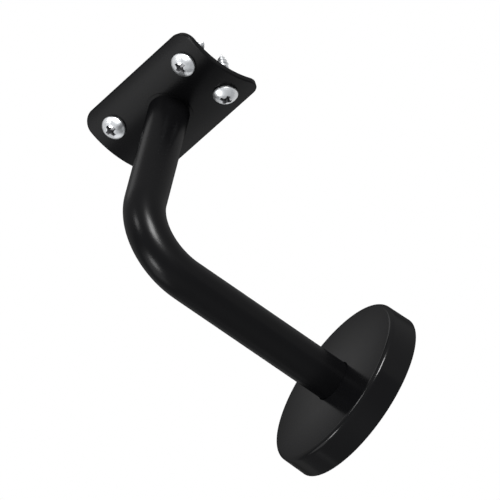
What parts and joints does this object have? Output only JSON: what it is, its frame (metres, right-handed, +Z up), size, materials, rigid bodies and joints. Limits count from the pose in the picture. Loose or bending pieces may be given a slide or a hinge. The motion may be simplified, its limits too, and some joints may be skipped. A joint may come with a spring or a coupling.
{
  "type": "handrail bracket",
  "caption": "Black wall bracket that carries a handrail from below: bent tube arm, curved saddle with screws, and a round capped wall plate.",
  "frame": {"origin": "centre of the wall face, on the arm's axis", "axes": "+Y into the wall, +X along the rail, +Z up; the arm leaves the wall along -Y and turns up to the rail"},
  "size_m": [0.0696, 0.1248, 0.1295],
  "materials": {
    "black_coat": "black powder coat on mild steel, satin with a very fine even texture",
    "cap_coat": "black powder coat on pressed sheet steel, smooth and a little glossier than the arm",
    "screw_zinc": "bright zinc plated steel, clean, with a darker cross recess"
  },
  "bodies": {
    "root": {"saddle_plate": "black_coat", "arm_tube": "black_coat", "saddle_weld": "black_coat", "wall_plate": "black_coat", "wall_weld": "black_coat", "cover_cap": "cap_coat", "rail_screw_front_left": "screw_zinc", "rail_screw_front_right": "screw_zinc", "rail_screw_rear_left": "screw_zinc", "rail_screw_rear_right": "screw_zinc"}
  },
  "joints": []
}
